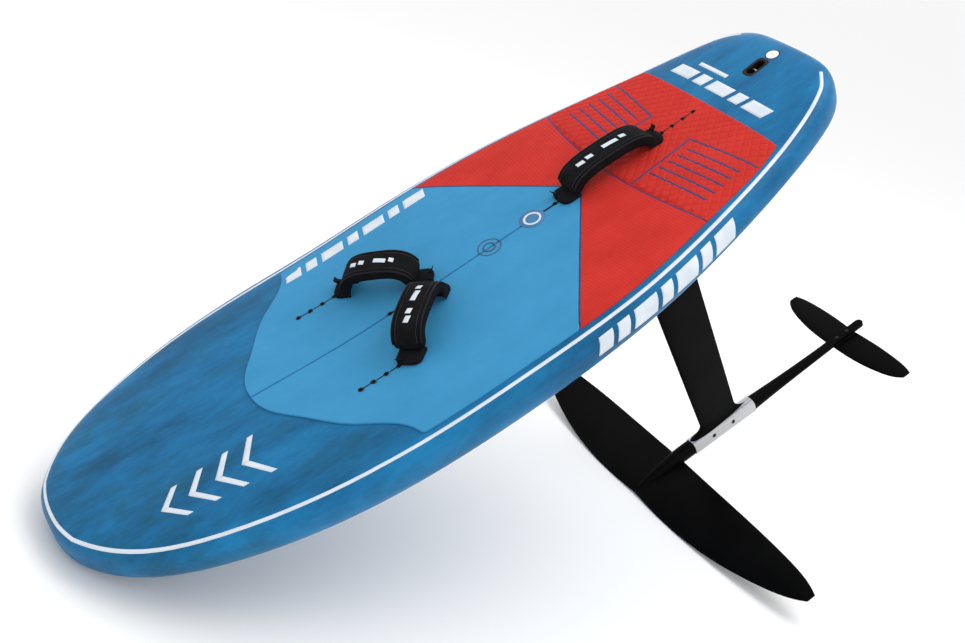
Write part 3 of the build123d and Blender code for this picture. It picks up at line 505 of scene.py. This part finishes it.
def cut_holes(bm, holes, cell):
    """Remove the faces in each hole, and move the edge left behind onto its circle."""
    doomed = []
    for face in bm.faces:
        middle = face.calc_center_median()
        if any((middle.x - hx) ** 2 + (middle.y - hy) ** 2 < HOLE_RADIUS ** 2 for hx, hy in holes):
            doomed.append(face)
    bmesh.ops.delete(bm, geom=doomed, context="FACES")
    for vert in [v for v in bm.verts if v.is_boundary]:
        for hx, hy in holes:
            off = Vector((vert.co.x - hx, vert.co.y - hy))
            if 0 < off.length < HOLE_RADIUS + cell:
                vert.co.x = hx + off.x / off.length * HOLE_RADIUS
                vert.co.y = hy + off.y / off.length * HOLE_RADIUS


def pad_piece(name, node, base, cell, relief, mat):
    """A deck pad: its CAD outline and height, with rounded edges, its own relief, and round holes."""
    points, faces, first, last = pad_grid(node, base, cell, relief)
    mesh = bpy.data.meshes.new(name)
    mesh.from_pydata([tuple(p) for p in points], [], faces)
    bm = bmesh.new()
    bm.from_mesh(mesh)
    bmesh.ops.remove_doubles(bm, verts=bm.verts, dist=0.02)
    bmesh.ops.dissolve_degenerate(bm, edges=bm.edges, dist=0.005)
    cut_holes(bm, [h for h in HOLES if first - 8 < h[0] < last + 8], cell)
    skirt = bmesh.ops.extrude_edge_only(bm, edges=[e for e in bm.edges if e.is_boundary])
    for vert in [g for g in skirt["geom"] if isinstance(g, bmesh.types.BMVert)]:
        vert.co.z = on_deck(vert.co.x, vert.co.y).z + 0.1
    bmesh.ops.recalc_face_normals(bm, faces=bm.faces)
    bm.transform(TO_ROW)
    bm.to_mesh(mesh)
    bm.free()
    pad = shown(name, mesh, mat)
    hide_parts(node)


def groove(distance, half, depth):
    """How deep a groove of this half width is, this far from its middle."""
    return -depth * max(0.0, 1 - abs(distance) / half)


# The rear patches: a line fore and aft, a slanting rear edge, and short grooves parallel to it.
PATCH_REAR = ((320.0, 63.0), (291.0, 231.0))
PATCH_INNER = ((320.0, 63.0), (480.0, 78.0))
PATCH_LINES = [((343.0 + 23.0 * k, 84.0 - k), (323.0 + 23.0 * k, 216.0 + 3.5 * k)) for k in range(5)]
GROOVES = [PATCH_REAR, PATCH_INNER, *PATCH_LINES]
# The diamonds' length and width, and the distance between parallel grooves.
DIAMOND_X = 26.0
DIAMOND_Y = 22.0
DIAMOND_GAP = 16.8


def off_segment(x, y, segment):
    """How far a place is from a segment."""
    (ax, ay), (bx, by) = segment
    t = ((x - ax) * (bx - ax) + (y - ay) * (by - ay)) / ((bx - ax) ** 2 + (by - ay) ** 2)
    t = min(max(t, 0), 1)
    return math.hypot(x - ax - t * (bx - ax), y - ay - t * (by - ay))


def rear_relief(x, y):
    """Raised diamonds between crossing grooves, cut by the patch grooves."""
    height = 0.0
    for value in (x / DIAMOND_X + y / DIAMOND_Y, x / DIAMOND_X - y / DIAMOND_Y):
        off = abs(value - round(value)) * DIAMOND_GAP
        height = min(height, groove(off, 2.9, 1.5))
    for segment in GROOVES:
        height = min(height, groove(off_segment(x, y, segment), 3.6, 1.8))
    return height


def mid_relief(x, y):
    """Fine ribs across the board."""
    return 0.28 * math.cos(2 * math.pi * (x + 0.12 * y) / 7.0) - 0.28


def front_relief(x, y):
    """A very slight unevenness, as moulded foam has."""
    return 0.12 * math.sin(x / 37.0) * math.cos(y / 29.0) - 0.12


coarse = 1
pad_piece("front_deck_pad", "front_pad", 1.25, 4.0, front_relief, PAD_BLUE)
pad_piece("mid_deck_pad", "mid_pad", 0.0, 1.6 * coarse, mid_relief, PAD_RED)
pad_piece("rear_deck_pad", "rear_pad", 0.0, 1.7 * coarse, rear_relief, PAD_RED)


def groove_floor(x, y):
    """The height of the painted shade in a patch groove or a seam between pads: 1 mm below the pad top."""
    return Vector((x, y, on_deck(x, y).z + PAD - 1.0))


def straight(a, b):
    """A straight line from a to b, in steps of about 6 mm."""
    a, b = Vector(a), Vector(b)
    count = max(2, math.ceil((b - a).length / 6.0))
    return [a.lerp(b, k / count) for k in range(count + 1)]


groove_shade_lines = []
for side in (1, -1):
    for a, b in GROOVES:
        groove_shade_lines.append(straight((a[0], side * a[1]), (b[0], side * b[1])))
# The seams between the pads: a shallow arc behind the mid pad, and a straight vee in front of it.
ARC_X = 486.2
ARC_RADIUS = 1022.5
VEE_X = 546.2
VEE_SLOPE = 0.73
VEE_REACH = 304
arc = []
for k in range(-44, 45):
    y = 6.0 * k
    arc.append(Vector((ARC_X - ARC_RADIUS + math.sqrt(ARC_RADIUS ** 2 - y * y), y)))
groove_shade_lines.append(arc)
for side in (1, -1):
    groove_shade_lines.append(straight((VEE_X, 0), (VEE_X + VEE_SLOPE * VEE_REACH, side * VEE_REACH)))
# Painted shade: a dark blue strip in each patch groove and each seam. In the seams the hull's own blue shows,
# and the strip paints it darker as shade.
ribbon("groove_shade_strips", groove_shade_lines, 4.4, groove_floor, GROOVE_SHADE, lift=0.4)

# Painted shade for the slits that join the insert holes: black strips laid on the uncut pad. And a grommet in
# each hole.
slit_shade_lines = [straight((FRONT_ROW[-1] + 40, s * ROW_Y), (FRONT_ROW[0], s * ROW_Y)) for s in (1, -1)]
slit_shade_lines.append(straight((REAR_ROW[0], 0), (REAR_ROW[-2], 0)))
slit_shade_lines.append(straight(REAR_STRAP_FRONT, (640, 0)))
slit_shade_lines.append(straight((941, 0), CENTRE_HOLES[-1]))
ribbon("insert_slit_shade", slit_shade_lines, 2.6, on_pad, BLACK_PLASTIC, lift=0.3)


def grommets(name, places, mat):
    """A small raised ring in each insert hole."""
    profile = [(2.5, -3.6), (2.7, 0.1), (3.3, 0.5), (4.3, 0.45), (5.2, 0.05), (5.1, -0.6)]
    points, faces = [], []
    sides = 24
    for x, y in places:
        top = on_deck(x + 7, y).z + PAD
        start = len(points)
        for k in range(sides):
            angle = 2 * math.pi * k / sides
            for radius, rise in profile:
                points.append(row(x + radius * math.cos(angle), y + radius * math.sin(angle), top + rise))
        count = len(profile)
        for k in range(sides):
            for j in range(count - 1):
                a = start + k * count + j
                b = start + (k + 1) % sides * count + j
                faces.append((a, a + 1, b + 1, b))
    return piece(name, points, faces, mat)


# Where the straps are screwed down: name, first screw, second screw, height of the top above the deck.
STRAPS = [
    ("front_port", (FRONT_ROW[4], ROW_Y), CENTRE_STRAP, 66.0),
    ("front_starboard", (FRONT_ROW[4], -ROW_Y), (CENTRE_STRAP[0], -CENTRE_STRAP[1]), 66.0),
    ("rear", REAR_STRAP_FRONT, (REAR_ROW[-1], 0), 54.0),
]
strap_spots = {screw for strap in STRAPS for screw in strap[1:3]}
grommets("insert_grommets", [h for h in HOLES if h not in strap_spots], BLACK_PLASTIC)

# ------------------------------------------------------------------ stripe and generic marks
NOSE_X = 1727.0
STRIPE_START = 28.0
STRIPE_TURN = 1698.0
STRIPE_NOSE = [(1705.5, 60), (1710.5, 31)]


def stripe_inset(x):
    """How far the stripe runs inside the outline: more along the sides than round the nose."""
    return 22.0 - 7.0 * min(max((x - 1200) / 450, 0), 1)


def inner_width(x, inset):
    """The half width at x of the outline moved inward by this much."""
    turns = [math.pi * k / 12 for k in range(13)]
    return min(half_width(x - inset * math.cos(t)) - inset * math.sin(t) for t in turns)


stripe_side = []
for k in range(97):
    x = STRIPE_START + (STRIPE_TURN - STRIPE_START) * math.sin(math.pi / 2 * k / 96)
    stripe_side.append((x, inner_width(x, stripe_inset(x))))
stripe_side += STRIPE_NOSE
stripe_points = stripe_side + [(NOSE_X - stripe_inset(NOSE_X), 0)]
stripe_points += [(x, -y) for x, y in reversed(stripe_side)]
ribbon("deck_stripe", [smooth_line(stripe_points, 4)], 7.0, on_deck, WHITE, lift=0.5)


def slanted(x, y, length, height, lean):
    """A slanted bar that starts at x, y and runs along X."""
    return [(x, y), (x + length, y), (x + length + lean, y + height), (x + lean, y + height)]


BAR_GAP = 12


def bar_places(start, lengths):
    """Where each bar of a band starts, and its length."""
    places = []
    for length in lengths:
        places.append((start, length))
        start += length + BAR_GAP
    return places


deck_bars = []
for at, length in bar_places(764.0, (52, 26, 52, 26, 52, 26, 36)):
    deck_bars.append(slanted(at, -289, length, 30, 10))
draped("deck_band", deck_bars, on_pad, WHITE)

rail_bars = []
for at, length in bar_places(404.0, (56, 28, 56, 28, 56, 28, 32)):
    rail_bars.append([(at, -22), (at + length, -22), (at + length + 12, -56), (at + 12, -56)])
draped("rail_band", rail_bars, on_rail, WHITE, lift=1.2, cell=4.0)

tail_bars = []
for at, length in bar_places(-160.0, (60, 30, 60, 30, 60)):
    tail_bars.append([(194, at), (194, at + length), (164, at + length + 7), (164, at + 7)])
tail_bars.append([(150, -118), (150, -30), (140, -30), (140, -118)])
draped("tail_band", tail_bars, on_deck, WHITE)

CHEVRON_Y = 146
chevrons = []
for k in range(4):
    tip = 1548.0 - 52 * k
    reach = 40.0 + 5 * k
    for side in (1, -1):
        wing_y = CHEVRON_Y + side * reach
        chevrons.append([(tip, CHEVRON_Y), (tip - 34, wing_y), (tip - 46, wing_y), (tip - 14, CHEVRON_Y)])
draped("nose_chevrons", chevrons, on_deck, WHITE, cell=6.0)


def disc_piece(name, x, y, inner, outer, mat, lift):
    """A thin printed disc on a pad, or a ring where it has an inner radius."""
    points, faces = [], []
    sides = 48
    if inner:
        radii = [inner, inner + 0.3, (inner + outer) / 2, outer - 0.3, outer]
        rises = [-0.3, lift, lift, lift, -0.3]
    else:
        radii = [0.01, outer / 2, outer - 0.3, outer]
        rises = [lift, lift, lift, -0.3]
    for k in range(sides):
        angle = 2 * math.pi * k / sides
        for radius, rise in zip(radii, rises):
            flat = (x + radius * math.cos(angle), y + radius * math.sin(angle))
            points.append(TO_ROW @ (on_pad(*flat) + Vector((0, 0, rise))))
    count = len(radii)
    for k in range(sides):
        for j in range(count - 1):
            a, b = k * count + j, (k + 1) % sides * count + j
            faces.append((a, a + 1, b + 1, b))
    return piece(name, points, faces, mat)


FRONT_BADGE_X = 771
REAR_BADGE_X = 667
disc_piece("badge_front_rim", FRONT_BADGE_X, 0, 22.0, 25.0, BADGE_RIM, 0.5)
disc_piece("badge_front_ring", FRONT_BADGE_X, 0, 10.0, 14.5, BADGE_RIM, 0.5)
disc_piece("badge_rear_disc", REAR_BADGE_X, 0, 0, 27.0, BADGE, 0.5)
disc_piece("badge_rear_ring", REAR_BADGE_X, 0, 14.0, 19.0, WHITE, 0.8)

# ------------------------------------------------------------------ footstraps
STRAP_BASE = PAD + 0.3
WEBBING = 2.5
PADDING = 9.0
TAB = 13.0
POWER = 3.0
STEPS = 44
# The cover starts and ends one step in from the ends of the arch.
FIRST = 1
LAST = STEPS - 1


def strap_path(start, end, height, outward):
    """Frames along the arch between two screws: place, across and outward directions."""
    start, end = Vector((*start, 0)), Vector((*end, 0))
    along = (end - start).normalized()
    across = Vector((along.y, -along.x, 0))
    half = (end - start).length / 2
    reach = half - TAB - 3 + outward
    rise = height - PAD - WEBBING - PADDING - WEBBING + outward
    flat = []
    for k in range(STEPS + 1):
        angle = math.pi * k / STEPS
        c, s = math.cos(angle), math.sin(angle)
        u = half - reach * math.copysign(abs(c) ** (2 / POWER), c)
        h = WEBBING + rise * (max(s, 0) ** (2 / POWER))
        flat.append((u, h))
    frames = []
    for k, (u, h) in enumerate(flat):
        before, after = flat[max(k - 1, 0)], flat[min(k + 1, STEPS)]
        du, dh = after[0] - before[0], after[1] - before[1]
        size = math.hypot(du, dh)
        outwards = along * (-dh / size) + UP * (du / size)
        place = start + along * u + Vector((0, 0, STRAP_BASE + h))
        frames.append((place, across, outwards))
    return frames


# The tape's section, as (across, outward), and the piping's.
HALF_TAPE = 19.0
HALF_THICK = 1.2
BAND = [
    (-HALF_TAPE, -HALF_THICK * 0.5), (-HALF_TAPE, HALF_THICK * 0.5), (-HALF_TAPE + 1, HALF_THICK),
    (0, HALF_THICK), (HALF_TAPE - 1, HALF_THICK), (HALF_TAPE, HALF_THICK * 0.5),
    (HALF_TAPE, -HALF_THICK * 0.5), (HALF_TAPE - 1, -HALF_THICK), (0, -HALF_THICK),
    (-HALF_TAPE + 1, -HALF_THICK),
]
PIPING_RADIUS = 1.5
PIPE = []
for k in range(8):
    PIPE.append((PIPING_RADIUS * math.cos(math.pi * k / 4), PIPING_RADIUS * math.sin(math.pi * k / 4)))


def cover_profile(t):
    """The padded cover: a crowned top, a seam along both sides, and soft edges folded down past the tape."""
    end = min(t, 1 - t) / 0.08
    full = 1 - (1 - min(end, 1)) ** 2
    w = 28.0 + 3.0 * full
    h = 5.6 + 4.6 * full
    d = 4.0 + 9.0 * full
    ripple = 0.5 * math.sin(t * 40) * (1 - full * 0.4)
    half = [
        (0, h), (w * 0.25, h - 0.1), (w * 0.5, h - 0.3), (w * 0.72, h - 0.8 + ripple), (w * 0.79, h - 2.8),
        (w * 0.85, h - 1.9), (w * 0.95, h - 2.8), (w, h * 0.40), (w + 0.6, -d * 0.2), (w - 0.4, -d * 0.8),
        (w - 2.6, -d), (w - 5.0, -d * 0.75), (w - 6.0, -0.2), (w - 9, 0.35), (w * 0.4, 0.35),
    ]
    return half + [(0, 0.35)] + [(-u, v) for u, v in reversed(half[1:])]


def cover_at(k):
    """The cover's profile at this step of the arch."""
    return cover_profile((k - FIRST) / (LAST - FIRST))


def capsules(name, frames, mat, length, radius):
    """Stitches: a short raised capsule at each frame of (place, along, across, outward)."""
    points, faces = [], []
    sides = 6
    for spot, along, across, outwards in frames:
        start = len(points)
        for share, size in ((-0.5, 0.3), (-0.3, 1), (0.3, 1), (0.5, 0.3)):
            for j in range(sides):
                angle = 2 * math.pi * j / sides
                off = (across * math.cos(angle) + outwards * math.sin(angle)) * radius * size
                points.append(TO_ROW @ (spot + along * length * share + off))
        for k in range(3):
            for j in range(sides):
                a, b = start + k * sides + j, start + k * sides + (j + 1) % sides
                faces.append((a, b, b + sides, a + sides))
        faces.append(tuple(start + j for j in range(sides)))
        faces.append(tuple(start + 3 * sides + j for j in range(sides)))
    return piece(name, points, faces, mat)


def subdivide(obj):
    """Smooth a piece with one level of subdivision."""
    smoother = obj.modifiers.new("soften", "SUBSURF")
    smoother.levels = 1
    smoother.render_levels = 1


def strap_end(name, spot, way, side):
    """The cloth end that folds over a plate and its screw, with a short cut tape standing up beside it."""
    across = Vector((way.y, -way.x, 0))
    points, faces = [], []
    lengths, rounds = 12, 16
    for i in range(lengths + 1):
        t = i / lengths
        u = -21 + 42 * t
        nose = math.sqrt(max(1 - (1 - min(t / 0.4, 1)) ** 2, 0.004))
        wide, high = 27.5 * (0.35 + 0.65 * nose), 11.5 * (0.4 + 0.6 * nose)
        for j in range(rounds + 1):
            angle = math.pi * j / rounds
            c, s = math.cos(angle), math.sin(angle)
            v = wide * math.copysign(abs(c) ** 0.7, c)
            h = 0.5 + high * max(s, 0) ** 0.6 + 0.35 * math.sin(5 * t + 3 * angle)
            points.append(TO_ROW @ (spot + way * u + across * v + UP * (STRAP_BASE + h)))
    wrap = rounds + 1
    for i in range(lengths):
        for j in range(rounds):
            a = i * wrap + j
            faces.append((a, a + 1, a + 1 + wrap, a + wrap))
    faces.append(tuple(range(wrap)))
    foot = piece(f"{name}_fold", points, faces, CLOTH)
    thick = foot.modifiers.new("thick", "SOLIDIFY")
    thick.thickness = 0.0016
    thick.offset = -1
    subdivide(foot)
    loop = []
    for u, h, tilt in ((-12, 10.0, 0.1), (-16.5, 12.0, 0.5), (-19.5, 14.5, 1.0), (-21.0, 19.0, 1.4)):
        outwards = (UP * math.cos(tilt) + way * math.sin(tilt)).normalized()
        loop.append((spot + way * u + across * side * 13 + UP * (STRAP_BASE + h), across, outwards))
    swept(f"{name}_tape_end", loop, [(-6, -0.6), (6, -0.6), (6, 0.6), (-6, 0.6)], TAPE)


def strap_tape(name, start, end, arch):
    """The tape: flat under both plates, and up the arch between them, with a folded cloth end on each."""
    along = (end - start).normalized()
    across = Vector((along.y, -along.x, 0))
    legs = []
    for spot, way, which, side in ((start, along, "first", -1), (end, -along, "last", 1)):
        leg = []
        for u, h, tilt in ((-13, 1.3, 0), (-8, 1.3, 0), (6, 1.3, 0), (11, 1.7, -0.35)):
            outwards = (way * math.sin(tilt) + UP * math.cos(tilt)).normalized()
            leg.append((spot + way * u + UP * (STRAP_BASE + h), across, outwards))
        legs.append(leg)
        strap_end(f"{name}_{which}", spot, way, side)
    tape = swept(f"{name}_webbing_tape", legs[0] + arch[1:-1] + legs[1][::-1], BAND, TAPE)
    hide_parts(f"{name}_strap_webbing")


def strap_trim(name, frames):
    """Piping along both edges of the cover, and two rows of stitches inside it."""
    stitches = []
    for side, edge in ((1, "left"), (-1, "right")):
        centres = []
        for k in range(FIRST + 3, LAST - 2):
            u, h = cover_at(k)[6]
            spot, cross, outwards = frames[k]
            centres.append((spot + cross * side * (u + 0.2) + outwards * (h + 0.4), cross, outwards))
        swept(f"{name}_piping_{edge}", centres, PIPE, PIPING)
        for k in range(FIRST + 4, LAST - 3):
            u, h = cover_at(k)[3]
            spot, cross, outwards = frames[k]
            ahead = (frames[k + 1][0] - frames[k - 1][0]).normalized()
            for half in (0, 0.5):
                step = (frames[k + 1][0] - spot) * half
                seat = spot + step + cross * side * (u - 1.2) + outwards * (h + 0.25)
                stitches.append((seat, ahead, cross, outwards))
    capsules(f"{name}_stitches", stitches, THREAD, 2.4, 0.45)


def strap_mark(name, frames):
    """A plain white mark on the top: four short slanted bars, every second one shorter."""
    points, faces = [], []
    for index in range(4):
        k = STEPS // 2 - 8 + index * 4
        for step in range(4):
            spot, cross, outwards = frames[k + step]
            high = cover_at(k + step)[0][1] + 0.25
            lean = 1.2 * step
            for u, drop in ((-5.5, 0.5), (-5.2, 0), (5.2, 0), (5.5, 0.5)):
                points.append(TO_ROW @ (spot + cross * (u + lean - 2) + outwards * (high - drop)))
        base = index * 16
        for i in range(2 if index % 2 else 3):
            for j in range(3):
                a = base + i * 4 + j
                faces.append((a, a + 1, a + 5, a + 4))
    piece(f"{name}_mark", points, faces, WHITE)


def footstrap(name, start, end, height):
    """One footstrap between two screws: cover, tape, folded ends, piping, stitches and a plain mark."""
    frames = strap_path(start, end, height, WEBBING + 0.3)
    cover = swept(f"{name}_cover", frames[FIRST:LAST + 1], cover_profile, CLOTH)
    subdivide(cover)
    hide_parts(f"{name}_strap_cover")
    arch = strap_path(start, end, height, WEBBING / 2)
    strap_tape(name, Vector((*start, 0)), Vector((*end, 0)), arch)
    strap_trim(name, frames)
    strap_mark(name, frames)


for strap in STRAPS:
    footstrap(*strap)

# ------------------------------------------------------------------ carrying grip
GRIP_START = 720.5
GRIP_LENGTH = 159
GRIP_Z = -112
grip_path = []
for k in range(25):
    t = k / 24
    place = Vector((GRIP_START + GRIP_LENGTH * t, 0, GRIP_Z - 3.0 * math.sin(math.pi * t)))
    grip_path.append((place, PORT, UP))


def grip_profile(t):
    """A soft rounded bar that thins to a flat tape at both ends."""
    swell = math.sin(math.pi * min(max((t - 0.12) / 0.76, 0), 1)) ** 0.5 if 0.12 < t < 0.88 else 0
    w, h = 13.0 + 1.0 * swell, 2.4 + 3.2 * swell
    ring = []
    for j in range(16):
        angle = 2 * math.pi * j / 16
        c, s = math.cos(angle), math.sin(angle)
        ring.append((w * math.copysign(abs(c) ** 0.6, c), h * math.copysign(abs(s) ** 0.7, s)))
    return ring


grip = swept("carrying_grip", grip_path, grip_profile, CLOTH)
subdivide(grip)
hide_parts("handle_grip")

# ------------------------------------------------------------------ floor, light and camera
floor_mat, floor_shader = finish_of("floor", 0.9)
floor_shader.inputs["Base Color"].default_value = (0.93, 0.93, 0.93, 1)
floor_mesh = bpy.data.meshes.new("floor")
floor_mesh.from_pydata([(-30, -30, 0), (30, -30, 0), (30, 30, 0), (-30, 30, 0)], [], [(0, 1, 2, 3)])
floor_mesh.materials.append(floor_mat)
floor = bpy.data.objects.new("floor", floor_mesh)
bpy.context.scene.collection.objects.link(floor)

world = bpy.data.worlds.new("studio")
bpy.context.scene.world = world
world.use_nodes = True
world.node_tree.nodes["Background"].inputs["Color"].default_value = (1, 1, 1, 1)
world.node_tree.nodes["Background"].inputs["Strength"].default_value = 1.0


def softbox(name, place, target, size, power):
    """A rectangular area light aimed at a target."""
    data = bpy.data.lights.new(name, "AREA")
    data.shape = "RECTANGLE"
    data.size, data.size_y = size
    data.energy = power
    lamp = bpy.data.objects.new(name, data)
    lamp.location = place
    lamp.rotation_mode = "QUATERNION"
    lamp.rotation_quaternion = (Vector(target) - Vector(place)).to_track_quat("-Z", "Y")
    bpy.context.scene.collection.objects.link(lamp)


softbox("key", (-1.0, 0.6, 4.2), (0, 0, 0.4), (3.2, 2.4), 60)
softbox("rail_strip", (0.2, 3.4, 1.7), (-0.2, 0.3, 0.7), (3.2, 0.35), 8)
softbox("back_fill", (-2.2, -2.6, 2.6), (0, 0, 0.6), (2.0, 1.6), 12)

# The camera's place and directions are kept in the board frame, and turned with it.
CAMERA_PLACE = (1396.8, 1882.2, 1570.9)
CAMERA_RIGHT = Vector((-0.80823, 0.50868, -0.29668))
CAMERA_FORWARD = Vector((-0.21237, -0.72169, -0.65884))
camera_data = bpy.data.cameras.new("camera")
camera_data.lens = 48.50
camera_data.sensor_width = 36.0
camera = bpy.data.objects.new("camera", camera_data)
turned = Matrix.Rotation(PITCH, 3, "Y")
right = (turned @ CAMERA_RIGHT).normalized()
forward = (turned @ CAMERA_FORWARD).normalized()
facing = Matrix((right, right.cross(forward), -forward)).transposed().to_4x4()
camera.matrix_world = Matrix.Translation(row(*CAMERA_PLACE)) @ facing
bpy.context.scene.collection.objects.link(camera)
bpy.context.scene.camera = camera
bpy.context.scene.view_settings.view_transform = "Standard"

bpy.context.view_layer.update()
